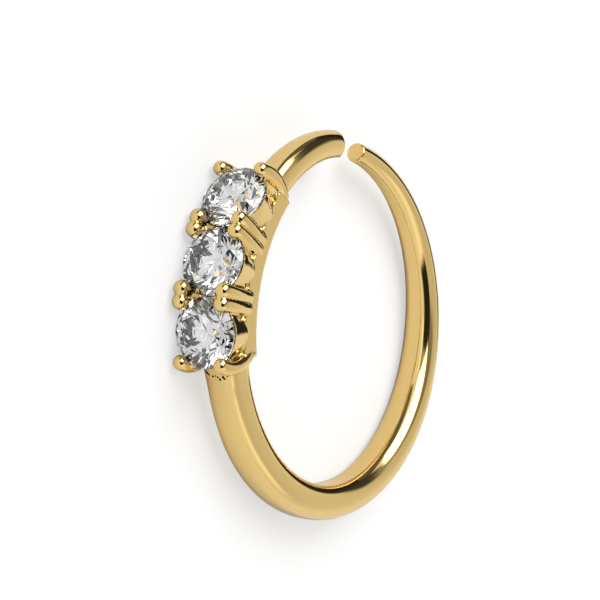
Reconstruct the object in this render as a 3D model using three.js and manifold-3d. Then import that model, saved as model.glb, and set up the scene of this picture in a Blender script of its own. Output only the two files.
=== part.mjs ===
// Open hoop ring with three claw-set round brilliants, in millimetres.
// Modelled lying on its side, +Z up, with the stones facing -Y. Ring angles are in degrees, 0 at the middle
// stone, rising anticlockwise seen from above: past the lower stone, the long way round, to the free end.
import * as THREE from "three";
import { mergeVertices } from "three/addons/utils/BufferGeometryUtils.js";
import Module from "manifold-3d";

const wasm = await Module();
wasm.setup();

// Driving sizes of the hoop
const INNER_RADIUS = 5.0;
const FREE_END_ANGLE = 274.6;
const ARM_END_ANGLE = -72.2;
const BAND_STEP = 4.2;
const BAND_SIDES = 22;

// Driving sizes of the stones and their setting
const STONE_DIAMETER = 2.05;
const STONE_STEP = 18.3;
const GIRDLE_RADIUS = 6.5;
const TABLE_SHARE = 0.57;
const CROWN_HEIGHT = 0.31;
const GIRDLE_HEIGHT = 0.07;
const PAVILION_DEPTH = 0.89;
const STAR_SHARE = 0.5;
const LOWER_HALF_SHARE = 0.77;
const GIRDLE_SIDES = 64;
const SEAT_SCALE = 1.03;

const PLATE_FACE = 0.82;
const PLATE_BACK = 0.5;
const PLATE_INNER = 5.08;
const PLATE_OUTER = 5.66;
const PLATE_START = -28.4;
const PLATE_END = 26.2;
const CUP_SIDES = 36;
const HOLE_SIDES = 24;
const CLAW_SIDES = 12;
const CLAW_STEPS = 7;
const BEAD_TURNS = [25, 50, 72];
const PLATE_STEPS = 12;
const MERGE_DISTANCE = 1e-5;

// Band sections along the hoop: axial width, radial thickness, width of the flat inside, and how square
// the outline is
const BAND_ROWS = [
  { angle: -72.2, width: 0.88, thick: 0.83, flat: 0.5, square: 2 },
  { angle: -60, width: 0.96, thick: 0.87, flat: 0.64, square: 2.1 },
  { angle: -45, width: 1.03, thick: 0.86, flat: 0.8, square: 2.4 },
  { angle: -30, width: 1.06, thick: 0.84, flat: 0.9, square: 3 },
  { angle: -24, width: 1.16, thick: 1.0, flat: 1.0, square: 5 },
  { angle: 24, width: 1.16, thick: 1.06, flat: 0.7, square: 5 },
  { angle: 34.7, width: 1.08, thick: 1.0, flat: 0.66, square: 4.2 },
  { angle: 64.7, width: 1.21, thick: 1.04, flat: 0.8, square: 2.9 },
  { angle: 94.7, width: 1.3, thick: 1.08, flat: 0.78, square: 2.5 },
  { angle: 124.7, width: 1.32, thick: 1.14, flat: 0.46, square: 2.3 },
  { angle: 159.7, width: 1.28, thick: 1.14, flat: 0.24, square: 2.2 },
  { angle: 194.7, width: 1.12, thick: 0.95, flat: 0.4, square: 2.1 },
  { angle: 229.7, width: 0.92, thick: 0.8, flat: 0.34, square: 2 },
  { angle: 254.7, width: 0.76, thick: 0.68, flat: 0.29, square: 2 },
  { angle: 274.6, width: 0.64, thick: 0.6, flat: 0.18, square: 2 },
];

// Rounding of a cut end: distance back from the end face, and the section's share of its full size there
const END_ROWS = [
  { back: 0.09, share: 1 },
  { back: 0.05, share: 0.97 },
  { back: 0.02, share: 0.9 },
  { back: 0, share: 0.78 },
];

// Seat collar under each girdle: distance from the hoop's axis, and its radius about the stone's axis
const CUP_ROWS = [
  { reach: 5.45, radius: 0.8 },
  { reach: 5.75, radius: 0.88 },
  { reach: 6.15, radius: 0.98 },
  { reach: 6.42, radius: 1.03 },
];

// Light hole behind each stone, from inside the hoop to the collar's seat
const HOLE_ROWS = [
  { reach: 4.6, radius: 0.42 },
  { reach: 6.2, radius: 0.42 },
];

// Claws of one stone, mirrored front and back: foot, bulge and bead, each placed along the hoop, axially
// and by its distance from the hoop's axis, then the claw's radius there
const INNER_CLAW = [
  { along: 0.7, axial: 0.64, reach: 5.42, radius: 0.22 },
  { along: 0.8, axial: 0.77, reach: 6.1, radius: 0.235 },
  { along: 0.885, axial: 0.73, reach: 6.72, radius: 0.245 },
];
const UPPER_CLAW = [
  { along: 0.92, axial: 0.62, reach: 5.2, radius: 0.21 },
  { along: 1.24, axial: 0.75, reach: 5.95, radius: 0.25 },
  { along: 0.87, axial: 0.71, reach: 6.69, radius: 0.225 },
];
const LOWER_CLAW = [
  { along: 0.6, axial: 0.62, reach: 5.24, radius: 0.22 },
  { along: 1.16, axial: 0.75, reach: 5.95, radius: 0.24 },
  { along: 0.87, axial: 0.71, reach: 6.69, radius: 0.225 },
];

// Webs in the same columns: between two stones, and behind the end claws
const STONE_WEB = [
  { along: 0.985, axial: -0.1, reach: 6.1, radius: 0.2 },
  { along: 0.99, axial: 0.35, reach: 6.18, radius: 0.21 },
  { along: 0.94, axial: 0.68, reach: 6.3, radius: 0.2 },
];
const UPPER_WEB = [
  { along: 0.8, axial: 0.42, reach: 5.4, radius: 0.3 },
  { along: 1.02, axial: 0.46, reach: 6.0, radius: 0.3 },
  { along: 0.9, axial: 0.5, reach: 6.3, radius: 0.2 },
];
const LOWER_WEB = [
  { along: 0.6, axial: 0.42, reach: 5.4, radius: 0.28 },
  { along: 0.86, axial: 0.46, reach: 6.0, radius: 0.28 },
  { along: 0.86, axial: 0.5, reach: 6.3, radius: 0.2 },
];

const radians = THREE.MathUtils.degToRad;
const gold = new THREE.MeshStandardMaterial({ color: 0xd9b45f, metalness: 1, roughness: 0.12 });
const clear = new THREE.MeshStandardMaterial({ color: 0xf4f6f8, metalness: 0, roughness: 0.02 });

// A point at a ring angle, a distance from the hoop's axis and an axial height
function ringPoint(angle, reach, axial) {
  const turn = radians(angle);
  return new THREE.Vector3(reach * Math.sin(turn), -reach * Math.cos(turn), axial);
}

// A smooth curve through one column of a table of rows sorted by angle
function along(rows, key, angle) {
  const last = rows.length - 1;
  let i = 0;
  while (i < last - 1 && angle > rows[i + 1].angle) i += 1;
  const slope = (k) => {
    const a = rows[Math.max(k - 1, 0)];
    const b = rows[Math.min(k + 1, last)];
    return (b[key] - a[key]) / (b.angle - a.angle);
  };
  const span = rows[i + 1].angle - rows[i].angle;
  const t = THREE.MathUtils.clamp((angle - rows[i].angle) / span, 0, 1);
  const start = rows[i][key] * (2 * t ** 3 - 3 * t ** 2 + 1) + slope(i) * span * (t ** 3 - 2 * t ** 2 + t);
  return start + rows[i + 1][key] * (3 * t ** 2 - 2 * t ** 3) + slope(i + 1) * span * (t ** 3 - t ** 2);
}

// A closed geometry through rings of points that turn right-handed about the way they advance, capped flat
function loft(rings) {
  const count = rings[0].length;
  const last = rings.length - 1;
  const points = rings.flat();
  for (const ring of [rings[0], rings[last]]) {
    points.push(ring.reduce((sum, p) => sum.add(p), new THREE.Vector3()).divideScalar(count));
  }
  const [startCap, endCap] = [points.length - 2, points.length - 1];
  const faces = [];
  for (let j = 0; j < count; j += 1) {
    const next = (j + 1) % count;
    for (let i = 0; i < last; i += 1) {
      const a = i * count + j;
      const b = i * count + next;
      faces.push(a, b, b + count, a, b + count, a + count);
    }
    faces.push(startCap, next, j, endCap, last * count + j, last * count + next);
  }
  return new THREE.BufferGeometry().setFromPoints(points).setIndex(faces);
}

// A closed geometry as a solid, with the corners that its faces share merged
function solidOf(geometry) {
  const bare = new THREE.BufferGeometry();
  bare.setAttribute("position", geometry.getAttribute("position"));
  bare.setIndex(geometry.getIndex());
  const merged = mergeVertices(bare, MERGE_DISTANCE);
  return new wasm.Manifold(
    new wasm.Mesh({
      numProp: 3,
      vertProperties: new Float32Array(merged.getAttribute("position").array),
      triVerts: new Uint32Array(merged.getIndex().array),
    }),
  );
}

// Outline of the band as radial offset and axial place: a rounded square cut by the flat inside
function bandSection(width, thick, flat, square) {
  const chord = (1 - (flat / width) ** square) ** (1 / square);
  const height = thick / (0.5 + 0.5 * chord);
  const from = -Math.asin(chord ** (square / 2));
  const outline = [];
  for (let j = 0; j < BAND_SIDES; j += 1) {
    const turn = from + ((Math.PI - 2 * from) * j) / (BAND_SIDES - 1);
    const c = Math.cos(turn);
    const s = Math.sin(turn);
    const axial = (width / 2) * Math.sign(c) * Math.abs(c) ** (2 / square);
    const radial = (height / 2) * (chord + Math.sign(s) * Math.abs(s) ** (2 / square));
    outline.push({ axial, radial });
  }
  return outline;
}

function bandRing(angle, share) {
  const size = (key) => along(BAND_ROWS, key, angle);
  const middle = INNER_RADIUS + size("thick") / 2;
  const outline = bandSection(size("width"), size("thick"), size("flat"), size("square"));
  return outline.map(({ axial, radial }) =>
    ringPoint(angle, middle + (INNER_RADIUS + radial - middle) * share, axial * share),
  );
}

// One stretch of the band from inside the setting to its rounded end
function bandStretch(fromAngle, endAngle) {
  const way = Math.sign(endAngle - fromAngle);
  const perMm = way / radians(INNER_RADIUS + 0.3);
  const stop = endAngle - END_ROWS[0].back * perMm;
  const steps = Math.ceil(Math.abs(stop - fromAngle) / BAND_STEP);
  const rings = [];
  for (let i = 0; i < steps; i += 1) rings.push(bandRing(fromAngle + ((stop - fromAngle) * i) / steps, 1));
  for (const row of END_ROWS) rings.push(bandRing(endAngle - row.back * perMm, row.share));
  return solidOf(loft(way > 0 ? rings : rings.reverse()));
}

// A flat side plate of the setting, an arc strip from one axial height up by its thickness
function sidePlate(low) {
  const from = radians(PLATE_START - 90);
  const to = radians(PLATE_END - 90);
  const strip = new THREE.Shape();
  strip.absarc(0, 0, PLATE_OUTER, from, to, false);
  strip.absarc(0, 0, PLATE_INNER, to, from, true);
  const depth = PLATE_FACE - PLATE_BACK;
  const options = { depth, bevelEnabled: false, curveSegments: PLATE_STEPS };
  return solidOf(new THREE.ExtrudeGeometry(strip, options).translate(0, 0, low));
}

// Places a shape made about the stone's own axis (local Z outward, X along the hoop, Y up) at a ring angle
function stoneMatrix(angle) {
  const out = ringPoint(angle, 1, 0);
  const tangent = new THREE.Vector3(-out.y, out.x, 0);
  return new THREE.Matrix4().makeBasis(tangent, new THREE.Vector3(0, 0, 1), out);
}

// Round solid about the stone's axis through rows of reach and radius
function turned(rows, sides, matrix) {
  const profile = rows.map(({ reach, radius }) => new THREE.Vector2(radius, reach));
  profile.unshift(new THREE.Vector2(0, rows[0].reach));
  profile.push(new THREE.Vector2(0, rows[rows.length - 1].reach));
  const geometry = new THREE.LatheGeometry(profile, sides, Math.PI / sides);
  return solidOf(geometry.rotateX(Math.PI / 2).applyMatrix4(matrix));
}

// Round claw bent from its foot through its bulge to a domed bead
function claw(rows, alongSign, axialSign, matrix) {
  const points = rows.map(
    (row) => new THREE.Vector3(row.along * alongSign, row.axial * axialSign, row.reach),
  );
  const path = new THREE.QuadraticBezierCurve3(...points);
  const ring = (centre, axis, radius) => {
    const side = new THREE.Vector3(0, 1, 0).cross(axis).normalize();
    const up = axis.clone().cross(side);
    return Array.from({ length: CLAW_SIDES }, (_, j) => {
      const turn = (2 * Math.PI * j) / CLAW_SIDES;
      const out = side.clone().multiplyScalar(Math.cos(turn)).addScaledVector(up, Math.sin(turn));
      return centre.clone().addScaledVector(out, radius);
    });
  };
  const [foot, bulge, bead] = rows.map((row) => row.radius);
  const rings = [];
  for (let i = 0; i <= CLAW_STEPS; i += 1) {
    const t = i / CLAW_STEPS;
    const radius = foot * (1 - t) ** 2 + bulge * 2 * t * (1 - t) + bead * t ** 2;
    rings.push(ring(path.getPoint(t), path.getTangent(t), radius));
  }
  const axis = path.getTangent(1);
  for (const turn of BEAD_TURNS) {
    const lift = points[2].clone().addScaledVector(axis, bead * Math.sin(radians(turn)));
    rings.push(ring(lift, axis, bead * Math.cos(radians(turn))));
  }
  return solidOf(loft(rings).applyMatrix4(matrix));
}

// Round brilliant about its own axis, girdle at the origin: a round blank trimmed by 57 facet planes
function brilliant(scale) {
  const half = GIRDLE_HEIGHT / 2;
  const girdle = STONE_DIAMETER / 2;
  const table = girdle * TABLE_SHARE;
  const top = half + CROWN_HEIGHT;
  const polar = (radius, degrees, z) => {
    const turn = radians(degrees);
    return new THREE.Vector3(radius * Math.cos(turn), radius * Math.sin(turn), z).multiplyScalar(scale);
  };
  const eighth = Math.cos(radians(22.5));
  const star = THREE.MathUtils.lerp(table * eighth, girdle, STAR_SHARE);
  const starZ = half + (CROWN_HEIGHT * (girdle - star * eighth)) / (girdle - table);
  const lower = girdle * (1 - LOWER_HALF_SHARE);
  const lowerZ = -half - PAVILION_DEPTH * (1 - (lower * eighth) / girdle);
  const culet = polar(0, 0, -half - PAVILION_DEPTH);
  const planes = [[polar(1, 0, top), polar(1, 90, top), polar(1, 180, top)]];
  for (let k = 0; k < 8; k += 1) {
    const at = 45 * k;
    planes.push([polar(table, at, top), polar(star, at - 22.5, starZ), polar(star, at + 22.5, starZ)]);
    planes.push([polar(table, at, top), polar(table, at + 45, top), polar(star, at + 22.5, starZ)]);
    planes.push([culet, polar(lower, at - 22.5, lowerZ), polar(lower, at + 22.5, lowerZ)]);
    for (const side of [-1, 1]) {
      const corner = at + 22.5 * side;
      planes.push([polar(girdle, at, half), polar(girdle, corner, half), polar(star, corner, starZ)]);
      planes.push([polar(girdle, at, -half), polar(girdle, corner, -half), polar(lower, corner, lowerZ)]);
    }
  }
  const round = girdle * scale;
  const blank = new THREE.CylinderGeometry(round, round, 2 * STONE_DIAMETER, GIRDLE_SIDES);
  let stone = solidOf(blank.rotateX(Math.PI / 2));
  for (const corners of planes) {
    const plane = new THREE.Plane().setFromCoplanarPoints(...corners);
    if (plane.distanceToPoint(new THREE.Vector3()) < 0) plane.negate();
    stone = stone.trimByPlane(plane.normal.toArray(), -plane.constant);
  }
  return stone;
}

function geometryOf(solid) {
  const mesh = solid.getMesh();
  const geometry = new THREE.BufferGeometry();
  geometry.setAttribute("position", new THREE.BufferAttribute(new Float32Array(mesh.vertProperties), 3));
  geometry.setIndex(new THREE.BufferAttribute(new Uint32Array(mesh.triVerts), 1));
  return geometry;
}

function named(name, solid, material) {
  const mesh = new THREE.Mesh(geometryOf(solid), material);
  mesh.name = name;
  return mesh;
}

// The metal: band, side plates, collars and claws are one casting, hollowed for the stones
const STONES = [
  { name: "stone_upper", angle: -STONE_STEP, low: [UPPER_CLAW, UPPER_WEB], high: [INNER_CLAW, STONE_WEB] },
  { name: "stone_middle", angle: 0, low: [INNER_CLAW], high: [INNER_CLAW, STONE_WEB] },
  { name: "stone_lower", angle: STONE_STEP, low: [INNER_CLAW], high: [LOWER_CLAW, LOWER_WEB] },
];
let metal = bandStretch(21, FREE_END_ANGLE).add(bandStretch(-21, ARM_END_ANGLE));
metal = metal.add(sidePlate(PLATE_BACK)).add(sidePlate(-PLATE_FACE));
for (const row of STONES) {
  const matrix = stoneMatrix(row.angle);
  metal = metal.add(turned(CUP_ROWS, CUP_SIDES, matrix));
  for (const axialSign of [-1, 1]) {
    for (const rows of row.low) metal = metal.add(claw(rows, -1, axialSign, matrix));
    for (const rows of row.high) metal = metal.add(claw(rows, 1, axialSign, matrix));
  }
}
const seat = brilliant(SEAT_SCALE);
const cut = brilliant(1);
const gems = [];
for (const row of STONES) {
  const matrix = stoneMatrix(row.angle);
  metal = metal.subtract(turned(HOLE_ROWS, HOLE_SIDES, matrix));
  matrix.setPosition(ringPoint(row.angle, GIRDLE_RADIUS, 0));
  metal = metal.subtract(seat.transform(matrix.toArray()));
  gems.push(named(row.name, cut.transform(matrix.toArray()), clear));
}

// On its side the hoop leans on three points: the girdles of the outer stones and the far side of the band
const near = GIRDLE_RADIUS * Math.cos(radians(STONE_STEP));
const leans = BAND_ROWS.filter((row) => row.angle > 90 && row.angle < 240).map((row) => {
  const far = -(INNER_RADIUS + row.thick / 2) * Math.cos(radians(row.angle));
  return Math.atan2((STONE_DIAMETER - row.width) / 2, near + far);
});
const lean = Math.min(...leans);
const ring = new THREE.Group();
ring.add(named("hoop_and_setting", metal, gold), ...gems);
ring.rotation.x = -lean;
const part = new THREE.Group();
part.add(ring);
part.updateMatrixWorld(true);
const box = new THREE.Box3().setFromObject(part, true);
ring.position.set(-(box.min.x + box.max.x) / 2, -(box.min.y + box.max.y) / 2, -box.min.z);

export default part;
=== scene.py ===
"""Looks of an open hoop ring with three claw-set round brilliants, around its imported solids.

Shapes are worked out in ring millimetres: X and Y across the hoop, Z along its axis. Ring angles are in degrees,
0 at the middle stone, and rise past the lower stone and the long way round to the tapered free end.
"""
import math

import bpy
import numpy as np
from mathutils import Matrix, Vector


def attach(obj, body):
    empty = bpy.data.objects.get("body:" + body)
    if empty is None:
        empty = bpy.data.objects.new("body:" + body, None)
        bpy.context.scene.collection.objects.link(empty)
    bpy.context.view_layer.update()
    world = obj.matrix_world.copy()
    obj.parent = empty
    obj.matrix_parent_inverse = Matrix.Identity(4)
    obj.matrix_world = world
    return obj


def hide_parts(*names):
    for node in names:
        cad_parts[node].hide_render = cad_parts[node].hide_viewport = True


MM = 0.001

# Hoop
INNER_RADIUS = 5.0
FREE_END_ANGLE = 274.6
ARM_END_ANGLE = -72.2
BAND_STEP = 1.2
EDGE_ROUNDING = 0.07
END_ROUNDING = 0.075
BAND_ROOT_ANGLE = 21.0

# Stones and setting
STONE_STEP = 18.3
STONE_DIAMETER = 2.05
GIRDLE_RADIUS = 6.5
GIRDLE_HALF = 0.035
CROWN_HEIGHT = 0.31
PAVILION_DEPTH = 0.89
TABLE_SHARE = 0.57
SEAT_GAP = 0.03
PLATE_FACE = 0.82
PLATE_BACK = 0.5
PLATE_INNER = 5.08
PLATE_OUTER = 5.66
PLATE_START = -28.4
PLATE_END = 26.2
HOLE_ROWS = ((4.6, 0.42), (6.2, 0.42))
SETTING_VOXEL = 0.03
SHARP_ANGLE = 38.0

# Band sections: ring angle, axial width, radial thickness, width of the inner flat, squareness of the outline
BAND_COLUMNS = ("angle", "width", "thick", "flat", "square")
BAND_ROWS = np.array([
    (-72.2, 0.88, 0.83, 0.50, 2.0),
    (-60.0, 0.96, 0.87, 0.64, 2.1),
    (-45.0, 1.03, 0.86, 0.80, 2.4),
    (-30.0, 1.06, 0.84, 0.90, 3.0),
    (-24.0, 1.16, 1.00, 1.00, 5.0),
    (24.0, 1.16, 1.06, 0.70, 5.0),
    (34.7, 1.08, 1.00, 0.66, 4.2),
    (64.7, 1.21, 1.04, 0.80, 2.9),
    (94.7, 1.30, 1.08, 0.78, 2.5),
    (124.7, 1.32, 1.14, 0.46, 2.3),
    (159.7, 1.28, 1.14, 0.24, 2.2),
    (194.7, 1.12, 0.95, 0.40, 2.1),
    (229.7, 0.92, 0.80, 0.34, 2.0),
    (254.7, 0.76, 0.68, 0.29, 2.0),
    (274.6, 0.64, 0.60, 0.18, 2.0),
])

# Seat collar: distance from the hoop's axis, radius about the stone's axis
CUP_ROWS = ((5.45, 0.8), (5.75, 0.88), (6.15, 0.98), (6.42, 1.03))

# Claws, foot to bead: along the hoop, axial place, distance from the hoop's axis, radius
INNER_CLAW = ((0.7, 0.64, 5.42, 0.22), (0.8, 0.77, 6.1, 0.235), (0.885, 0.73, 6.72, 0.245))
UPPER_CLAW = ((0.92, 0.62, 5.2, 0.21), (1.24, 0.75, 5.95, 0.25), (0.87, 0.71, 6.69, 0.225))
LOWER_CLAW = ((0.6, 0.62, 5.24, 0.22), (1.16, 0.75, 5.95, 0.24), (0.87, 0.71, 6.69, 0.225))

# Webs in the same columns: between two stones, and behind the end claws
STONE_WEB = ((0.985, -0.1, 6.1, 0.2), (0.99, 0.35, 6.18, 0.21), (0.94, 0.68, 6.3, 0.2))
UPPER_WEB = ((0.8, 0.42, 5.4, 0.3), (1.02, 0.46, 6.0, 0.3), (0.9, 0.5, 6.3, 0.2))
LOWER_WEB = ((0.6, 0.42, 5.4, 0.28), (0.86, 0.46, 6.0, 0.28), (0.86, 0.5, 6.3, 0.2))

# Pits of the solder joint under the lower stone: ring angle, axial place, radius
PIT_DEPTH = 0.1
PITS = (
    (29.4, -0.38, 0.06), (29.8, -0.34, 0.07), (30.2, -0.28, 0.05), (30.7, -0.14, 0.05), (30.5, -0.05, 0.04),
    (30.8, 0.03, 0.05), (31.4, 0.1, 0.06), (30.7, 0.22, 0.07), (31.1, 0.26, 0.06), (30.4, 0.36, 0.04),
)

# Stone node, ring angle, claws and webs at its low and high end
STONES = (
    ("stone_upper", -STONE_STEP, (UPPER_CLAW, UPPER_WEB), (INNER_CLAW, STONE_WEB)),
    ("stone_middle", 0.0, (INNER_CLAW,), (INNER_CLAW, STONE_WEB)),
    ("stone_lower", STONE_STEP, (INNER_CLAW,), (LOWER_CLAW, LOWER_WEB)),
)

# Gold, and the painted shade that ambient occlusion lays in its recesses and creases
GOLD_COLOUR = (0.9, 0.645, 0.25, 1)
PAINTED_SHADE_COLOUR = (0.4, 0.33, 0.2, 1)
PAINTED_SHADE_REACH = 0.4

# Floor: half its side in metres, grey of its reflection, and white and painted glow as the camera sees it; the
# glow lifts its shadows
FLOOR_HALF = 4
FLOOR_GREY = 0.78
FLOOR_WHITE = 0.45
FLOOR_PAINTED_GLOW = 0.55

# Camera in ring millimetres, from the photo's perspective
CAMERA_PLACE = (15.26076, -66.52701, 44.404)
CAMERA_RIGHT = (-0.192397, 0.523507, 0.830014)
CAMERA_UP = (-0.962187, -0.266835, -0.054736)
CAMERA_LENS = 159.715

# Studio light around the ring: direction as ring angle and height, roll, half width and half height
# as tangents, softness of the edge, brightness
STUDIO_BASE = 0.85
STUDIO_SEEN = 0.95
STUDIO_COLUMNS = ("angle", "height", "roll", "half_width", "half_height", "soft", "level")
STUDIO_PANELS = (
    (180.0, 70.0, 0.0, 1.2, 0.8, 0.5, 0.62),
    (100.0, 50.0, 0.0, 0.7, 0.22, 0.2, 1.08),
    (-130.0, 10.0, 0.0, 0.72, 0.25, 0.06, 0.02),
    (-122.0, 30.0, 0.0, 0.28, 0.25, 0.12, 0.05),
    (-112.0, 55.0, 0.0, 0.15, 0.35, 0.1, 0.3),
    (-60.0, 82.0, 0.0, 0.5, 0.18, 0.12, 0.22),
    (-70.0, 10.0, 0.0, 0.95, 0.18, 0.06, 0.12),
    (-8.0, 36.0, 0.0, 0.42, 0.12, 0.06, 0.3),
    (28.0, 52.0, 0.0, 0.44, 0.42, 0.08, 0.02),
    (-62.0, 47.0, 20.0, 0.58, 0.36, 0.08, 4.0),
    (0.0, 25.0, 0.0, 0.3, 0.07, 0.04, 1.2),
)


def volume_centre(mesh):
    """Centre of a closed mesh's volume."""
    mesh.calc_loop_triangles()
    corner = np.array([v.co for v in mesh.vertices])
    tri = corner[np.array([t.vertices[:] for t in mesh.loop_triangles])]
    part = np.einsum("ij,ij->i", tri[:, 0], np.cross(tri[:, 1], tri[:, 2]))
    return Vector((part[:, None] * tri.sum(1) / 4).sum(0) / part.sum())


def ring_place(nodes):
    """Matrix from ring millimetres to the frame, found from the centres of the three stones."""
    upper, middle, lower = (volume_centre(nodes[name].data) for name, *_ in STONES)
    axis = (middle - upper).cross(lower - middle).normalized()
    half = (lower - upper).length / 2
    out = (middle - (upper + lower) / 2).normalized()
    reach = half / math.sin(math.radians(STONE_STEP))
    centre = middle - out * reach
    side = axis.cross(-out)
    turn = Matrix((-side, -out, axis)).transposed().to_4x4()
    return Matrix.Translation(centre) @ turn @ Matrix.Scale(MM, 4)


def ring_point(angle, reach, axial):
    turn = np.radians(angle)
    return np.stack(np.broadcast_arrays(reach * np.sin(turn), -reach * np.cos(turn), axial), -1)


def band_value(key, angle):
    """A smooth curve through one column of the band table."""
    x, y = BAND_ROWS[:, 0], BAND_ROWS[:, BAND_COLUMNS.index(key)]
    low, high = np.r_[0, 0:len(x) - 1], np.r_[1:len(x), len(x) - 1]
    slope = (y[high] - y[low]) / (x[high] - x[low])
    i = int(np.clip(np.searchsorted(x, angle, side="right") - 1, 0, len(x) - 2))
    span = x[i + 1] - x[i]
    t = np.clip((angle - x[i]) / span, 0, 1)
    start = y[i] * (2 * t**3 - 3 * t**2 + 1) + slope[i] * span * (t**3 - 2 * t**2 + t)
    return start + y[i + 1] * (3 * t**2 - 2 * t**3) + slope[i + 1] * span * (t**3 - t**2)


def band_outline(angle):
    """Axial and radial places round the band: a rounded square with a flat inside and soft edges."""
    width, thick, flat, square = (band_value(key, angle) for key in BAND_COLUMNS[1:])
    chord = (1 - (flat / width) ** square) ** (1 / square)
    height = thick / (0.5 + 0.5 * chord)
    start = -math.asin(chord ** (square / 2))
    turn = np.linspace(start, math.pi - start, 400)
    c, s = np.cos(turn), np.sin(turn)
    axial = width / 2 * np.sign(c) * np.abs(c) ** (2 / square)
    radial = height / 2 * (chord + np.sign(s) * np.abs(s) ** (2 / square))
    inside = np.linspace(0, axial[0], 40, endpoint=False)
    axial = np.r_[inside, axial, -inside[::-1]]
    radial = np.r_[inside * 0, radial, inside * 0]
    run = np.r_[0, np.cumsum(np.hypot(np.diff(axial), np.diff(radial)))]
    length, corner = run[-1], flat / 2
    even = np.linspace(0, length, 1200, endpoint=False)
    points = np.stack([np.interp(even, run, axial), np.interp(even, run, radial)], -1)
    reach = int(min(EDGE_ROUNDING, 0.7 * corner) / length * 1200)
    window = np.hanning(2 * reach + 3)[1:-1]
    window /= window.sum()
    wrapped = np.concatenate([points[-reach:], points, points[:reach]])
    smooth = np.stack([np.convolve(wrapped[:, k], window, "valid") for k in (0, 1)], -1)
    near = min(1.3 * EDGE_ROUNDING, 0.8 * corner)
    half = np.r_[np.linspace(0, corner - near, 5)[:-1], np.linspace(corner - near, corner + near, 15)[:-1],
                 np.linspace(corner + near, length / 2, 40)]
    at = np.r_[half, length - half[-2:0:-1]]
    place = np.r_[even, length]
    closed = np.concatenate([smooth, smooth[:1]])
    return np.stack([np.interp(at, place, closed[:, k]) for k in (0, 1)], -1)


def band_ring(angle, inset=0.0):
    """One ring of points round the band, drawn in from its outline by a share."""
    outline = band_outline(angle)
    middle = band_value("thick", angle) / 2
    share = 1 - inset / middle
    return ring_point(angle, INNER_RADIUS + middle + (outline[:, 1] - middle) * share, outline[:, 0] * share)


def band_stretch(root, end):
    """Rings of the band from inside the setting to its flat, rounded end."""
    way = math.copysign(1, end - root)
    per_mm = way * math.degrees(1 / (INNER_RADIUS + 0.3))
    stop = end - END_ROUNDING * per_mm
    count = math.ceil(abs(stop - root) / BAND_STEP)
    rings = [band_ring(root + (stop - root) * i / count) for i in range(count)]
    for turn in np.radians(np.linspace(0, 90, 9)):
        back = END_ROUNDING * (1 - math.sin(turn))
        rings.append(band_ring(end - back * per_mm, END_ROUNDING * (1 - math.cos(turn))))
    rings.append(band_ring(end, END_ROUNDING + 0.015))
    return rings if way > 0 else rings[::-1]


def loft(rings):
    """Corners and faces of a closed solid through rings that turn right-handed about the way they advance."""
    rings = np.asarray(rings)
    steps, count = rings.shape[:2]
    corners = np.concatenate([rings.reshape(-1, 3), rings[:1].mean(1), rings[-1:].mean(1)])
    j = np.arange(count)
    following = (j + 1) % count
    faces = []
    for i in range(steps - 1):
        a, b = i * count + j, i * count + following
        faces += np.stack([a, b, b + count, a + count], -1).tolist()
    first, last = steps * count, steps * count + 1
    top = (steps - 1) * count
    faces += np.stack([np.full(count, first), following, j], -1).tolist()
    faces += np.stack([np.full(count, last), top + j, top + following], -1).tolist()
    return corners, faces


def side_plate(low, high):
    """An arc strip of the setting's side between two axial places."""
    rings = []
    for angle in np.linspace(PLATE_START, PLATE_END, 90):
        reach = np.array([PLATE_INNER, PLATE_INNER, PLATE_OUTER, PLATE_OUTER])
        rings.append(ring_point(angle, reach, np.array([low, high, high, low])))
    return loft(rings)


def stone_axes(angle):
    """Along the hoop, axial and outward directions at a stone."""
    out = ring_point(angle, 1.0, 0.0)
    return np.array([[-out[1], out[0], 0.0], [0.0, 0.0, 1.0], out])


def turned(rows, angle, sides=96, axial=0.0):
    """Round solid about a stone's axis through rows of reach and radius."""
    turn = np.linspace(0, 2 * math.pi, sides, endpoint=False)
    rings = []
    for reach, radius in rows:
        ring = np.stack([radius * np.cos(turn), axial + radius * np.sin(turn), np.full(sides, reach)], -1)
        rings.append(ring @ stone_axes(angle))
    return loft(rings)


def claw(rows, angle, along_sign, axial_sign, sides=28, steps=26):
    """Round claw bent from its foot through its bulge to a domed bead."""
    table = np.array(rows) * (along_sign, axial_sign, 1, 1)
    foot, bulge, bead = table
    rings = []

    def ring(centre, axis, radius):
        side = np.cross((0, 1, 0), axis)
        side /= np.linalg.norm(side)
        up = np.cross(axis, side)
        turn = np.linspace(0, 2 * math.pi, sides, endpoint=False)[:, None]
        return (centre + radius * (np.cos(turn) * side + np.sin(turn) * up)) @ stone_axes(angle)

    for t in np.linspace(0, 1, steps):
        point = foot * (1 - t) ** 2 + bulge * 2 * t * (1 - t) + bead * t**2
        slope = (bulge - foot) * (1 - t) + (bead - bulge) * t
        axis = slope[:3] / np.linalg.norm(slope[:3])
        rings.append(ring(point[:3], axis, point[3]))
    for turn in np.radians(np.linspace(0, 85, 11)[1:]):
        lift = bead[:3] + axis * bead[3] * math.sin(turn)
        rings.append(ring(lift, axis, bead[3] * math.cos(turn)))
    return loft(rings)


def seat_rows():
    """Profile of the room cut for a stone, a small gap larger than its cone, girdle and crown."""
    girdle = STONE_DIAMETER / 2 + SEAT_GAP
    top = GIRDLE_HALF + CROWN_HEIGHT
    table = TABLE_SHARE * STONE_DIAMETER / 2 + SEAT_GAP
    return (
        (GIRDLE_RADIUS - GIRDLE_HALF - PAVILION_DEPTH - SEAT_GAP, 0.02),
        (GIRDLE_RADIUS - GIRDLE_HALF - SEAT_GAP / 2, girdle),
        (GIRDLE_RADIUS + GIRDLE_HALF + SEAT_GAP / 2, girdle),
        (GIRDLE_RADIUS + top + SEAT_GAP, table),
    )


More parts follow.
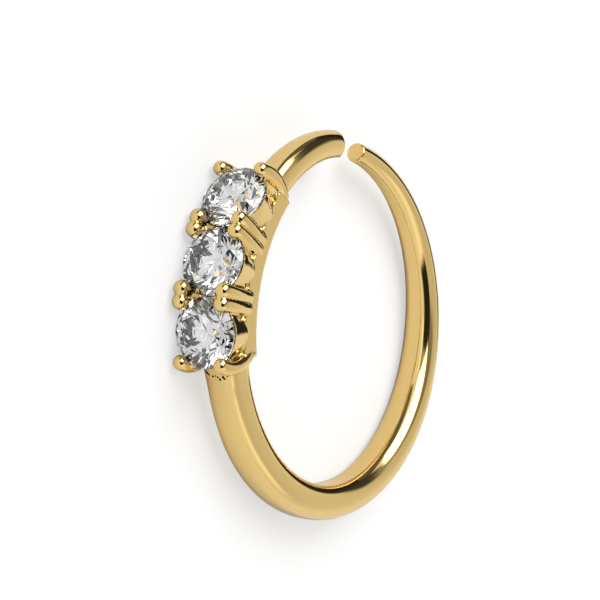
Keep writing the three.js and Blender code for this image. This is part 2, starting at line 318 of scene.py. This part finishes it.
def new_object(name, shapes):
    """A mesh object of one or more corner and face lists."""
    corners, faces, start = [], [], 0
    for points, polygons in shapes:
        corners += np.asarray(points).tolist()
        faces += [[start + k for k in face] for face in polygons]
        start = len(corners)
    mesh = bpy.data.meshes.new(name)
    mesh.from_pydata(corners, [], faces)
    mesh.update()
    piece = bpy.data.objects.new(name, mesh)
    bpy.context.scene.collection.objects.link(piece)
    return piece


def apply_modifier(piece, kind, **settings):
    modifier = piece.modifiers.new(kind.lower(), kind)
    for key, value in settings.items():
        setattr(modifier, key, value)
    bpy.context.view_layer.objects.active = piece
    bpy.ops.object.modifier_apply(modifier=modifier.name)


def combine(piece, other, operation):
    """Joins another solid to a piece or cuts it away."""
    apply_modifier(piece, "BOOLEAN", operation=operation, solver="MANIFOLD", object=other)
    bpy.data.objects.remove(other)


def make_metal(place):
    """Band, plates, collars and claws as one cast and polished body, cut out for the stones."""
    shapes = [side_plate(PLATE_BACK, PLATE_FACE), side_plate(-PLATE_FACE, -PLATE_BACK)]
    core = [band_ring(angle) for angle in np.linspace(-BAND_ROOT_ANGLE - 2, BAND_ROOT_ANGLE + 2, 40)]
    shapes.append(loft(core))
    for _, angle, low_claws, high_claws in STONES:
        shapes.append(turned(CUP_ROWS, angle))
        for axial_sign in (-1, 1):
            shapes += [claw(rows, angle, -1, axial_sign) for rows in low_claws]
            shapes += [claw(rows, angle, 1, axial_sign) for rows in high_claws]
    metal = new_object("hoop", shapes)
    apply_modifier(metal, "REMESH", mode="VOXEL", voxel_size=SETTING_VOXEL, adaptivity=0.0)
    apply_modifier(metal, "SMOOTH", factor=0.5, iterations=5)
    for root, end in ((BAND_ROOT_ANGLE, FREE_END_ANGLE), (-BAND_ROOT_ANGLE, ARM_END_ANGLE)):
        combine(metal, new_object("stretch", [loft(band_stretch(root, end))]), "UNION")
    for _, angle, *_ in STONES:
        combine(metal, new_object("hole", [turned(HOLE_ROWS, angle, 48)]), "DIFFERENCE")
        combine(metal, new_object("seat", [turned(seat_rows(), angle)]), "DIFFERENCE")
    for angle, axial, radius in PITS:
        surface = INNER_RADIUS + band_value("thick", angle)
        pit = ((surface - PIT_DEPTH, radius / 3), (surface + PIT_DEPTH, radius))
        combine(metal, new_object("pit", [turned(pit, angle, 12, axial)]), "DIFFERENCE")
    metal.data.transform(place)
    metal.data.shade_smooth()
    metal.data.set_sharp_from_angle(angle=math.radians(SHARP_ANGLE))
    return metal


def new_material(name):
    material = bpy.data.materials.new(name)
    material.use_nodes = True
    tree = material.node_tree
    return material, tree, tree.nodes["Principled BSDF"]


def add_node(tree, kind, inputs=None, **settings):
    node = tree.nodes.new(kind)
    for key, value in settings.items():
        setattr(node, key, value)
    for key, value in (inputs or {}).items():
        node.inputs[key].default_value = value
    return node


def gold_material():
    """Polished yellow gold with painted shade: ambient occlusion darkens it in recesses and creases; small
    changes of gloss.
    """
    material, tree, shader = new_material("polished_gold")
    shader.inputs["Metallic"].default_value = 1.0
    where = add_node(tree, "ShaderNodeTexCoord")
    # Painted shade: the base colour darkens where ambient occlusion finds nearby metal
    painted_shade = add_node(tree, "ShaderNodeAmbientOcclusion", {"Distance": PAINTED_SHADE_REACH * MM}, samples=6)
    painted_shade_ramp = add_node(tree, "ShaderNodeValToRGB")
    low, high = painted_shade_ramp.color_ramp.elements
    low.position, low.color = 0.2, PAINTED_SHADE_COLOUR
    high.position, high.color = 0.85, GOLD_COLOUR
    tree.links.new(painted_shade.outputs["AO"], painted_shade_ramp.inputs["Fac"])
    tree.links.new(painted_shade_ramp.outputs["Color"], shader.inputs["Base Color"])
    haze = add_node(tree, "ShaderNodeTexNoise", {"Scale": 900.0, "Detail": 4.0})
    gloss = add_node(tree, "ShaderNodeMapRange", {"To Min": 0.05, "To Max": 0.12})
    tree.links.new(where.outputs["Object"], haze.inputs["Vector"])
    tree.links.new(haze.outputs["Fac"], gloss.inputs["Value"])
    tree.links.new(gloss.outputs["Result"], shader.inputs["Roughness"])
    return material


def stone_material():
    """Clear cut stone."""
    material, _, shader = new_material("clear_stone")
    shader.inputs["Base Color"].default_value = (0.985, 0.99, 1.0, 1)
    shader.inputs["Roughness"].default_value = 0.0
    shader.inputs["IOR"].default_value = 2.4
    shader.inputs["Transmission Weight"].default_value = 1.0
    return material


def dress(piece, material):
    piece.data.materials.clear()
    piece.data.materials.append(material)


def make_floor():
    """Floor with painted glow: camera rays see it white with an emission that fills in its shadows; other rays
    see it plain grey and unlit.
    """
    side = FLOOR_HALF
    corners = [(-side, -side, 0), (side, -side, 0), (side, side, 0), (-side, side, 0)]
    floor = new_object("floor", [(corners, [(0, 1, 2, 3)])])
    material, tree, shader = new_material("pale_floor")
    shader.inputs["Roughness"].default_value = 0.9
    shader.inputs["Specular IOR Level"].default_value = 0.1
    # Painted glow: emission for camera rays only, which lightens the floor's cast shadows
    shader.inputs["Emission Color"].default_value = (1, 1, 1, 1)
    light = add_node(tree, "ShaderNodeLightPath").outputs["Is Camera Ray"]
    looks = (("Base Color", FLOOR_GREY, FLOOR_WHITE), ("Emission Strength", 0.0, FLOOR_PAINTED_GLOW))
    for socket, low, high in looks:
        level = add_node(tree, "ShaderNodeMapRange", {"To Min": low, "To Max": high})
        tree.links.new(light, level.inputs["Value"])
        tree.links.new(level.outputs["Result"], shader.inputs[socket])
    dress(floor, material)


def direction(angle, height):
    """Unit direction at a ring angle and a height above the hoop's plane."""
    return Vector(ring_point(angle, math.cos(math.radians(height)), math.sin(math.radians(height))))


def make_studio(place):
    """Soft light all round, with bright and dark panels for the metal and the stones to reflect."""
    world = bpy.data.worlds.new("studio")
    bpy.context.scene.world = world
    world.use_nodes = True
    tree = world.node_tree
    where = add_node(tree, "ShaderNodeTexCoord").outputs["Generated"]
    turn = place.to_3x3().normalized()

    def math_node(operation, *values, **settings):
        node = add_node(tree, "ShaderNodeMath", operation=operation, **settings)
        for socket, value in zip(node.inputs, values):
            if isinstance(value, bpy.types.NodeSocket):
                tree.links.new(value, socket)
            else:
                socket.default_value = value
        return node.outputs[0]

    def part(vector):
        node = add_node(tree, "ShaderNodeVectorMath", operation="DOT_PRODUCT")
        tree.links.new(where, node.inputs[0])
        node.inputs[1].default_value = vector
        return node.outputs["Value"]

    def inside(offset, depth, half, soft):
        share = math_node("ABSOLUTE", math_node("DIVIDE", offset, depth))
        node = add_node(tree, "ShaderNodeMapRange", interpolation_type="SMOOTHSTEP")
        tree.links.new(share, node.inputs["Value"])
        edges = {"From Min": half - soft, "From Max": half + soft, "To Min": 1.0, "To Max": 0.0}
        for key, value in edges.items():
            node.inputs[key].default_value = value
        return node.outputs["Result"]

    level = STUDIO_BASE
    for row in STUDIO_PANELS:
        panel = dict(zip(STUDIO_COLUMNS, row))
        centre = direction(panel["angle"], panel["height"])
        side = centre.cross(Vector((0, 0, 1))).normalized()
        roll = Matrix.Rotation(math.radians(panel["roll"]), 3, centre)
        side, up = roll @ side, roll @ side.cross(centre)
        depth = math_node("MAXIMUM", part(turn @ centre), 1e-4)
        across = inside(part(turn @ side), depth, panel["half_width"], panel["soft"])
        upward = inside(part(turn @ up), depth, panel["half_height"], panel["soft"])
        mask = math_node("MULTIPLY", across, upward)
        change = math_node("SUBTRACT", panel["level"], level)
        level = math_node("MULTIPLY_ADD", mask, change, level)
    light = add_node(tree, "ShaderNodeLightPath")
    shown = add_node(tree, "ShaderNodeMix", data_type="FLOAT")
    tree.links.new(light.outputs["Is Camera Ray"], shown.inputs["Factor"])
    tree.links.new(level, shown.inputs[2])
    shown.inputs[3].default_value = STUDIO_SEEN
    tree.links.new(shown.outputs[0], tree.nodes["Background"].inputs["Strength"])
    tree.nodes["Background"].inputs["Color"].default_value = (1, 1, 1, 1)


def make_camera(place):
    data = bpy.data.cameras.new("camera")
    data.lens = CAMERA_LENS
    data.sensor_width = 36.0
    data.clip_start, data.clip_end = 0.001, 20.0
    camera = bpy.data.objects.new("camera", data)
    bpy.context.scene.collection.objects.link(camera)
    turn = place.to_3x3().normalized()
    right, up = turn @ Vector(CAMERA_RIGHT), turn @ Vector(CAMERA_UP)
    camera.matrix_world = Matrix.Translation(place @ Vector(CAMERA_PLACE)) @ Matrix(
        (right, up, right.cross(up))
    ).transposed().to_4x4()
    bpy.context.scene.camera = camera


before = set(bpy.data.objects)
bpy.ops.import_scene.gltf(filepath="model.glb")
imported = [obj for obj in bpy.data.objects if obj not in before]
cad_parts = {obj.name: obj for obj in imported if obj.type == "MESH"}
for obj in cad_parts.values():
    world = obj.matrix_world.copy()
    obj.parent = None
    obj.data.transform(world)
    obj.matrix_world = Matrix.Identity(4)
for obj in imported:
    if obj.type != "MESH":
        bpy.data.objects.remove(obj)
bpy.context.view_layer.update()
place = ring_place(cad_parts)
make_camera(place)
make_studio(place)
make_floor()

metal = make_metal(place)
dress(metal, gold_material())
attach(metal, "root")
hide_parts("hoop_and_setting")

clear = stone_material()
for stone_name, *_ in STONES:
    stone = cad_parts[stone_name]
    dress(stone, clear)

scene = bpy.context.scene
scene.view_settings.view_transform = "Standard"
scene.cycles.max_bounces = 6
scene.cycles.transmission_bounces = 6
scene.cycles.glossy_bounces = 4
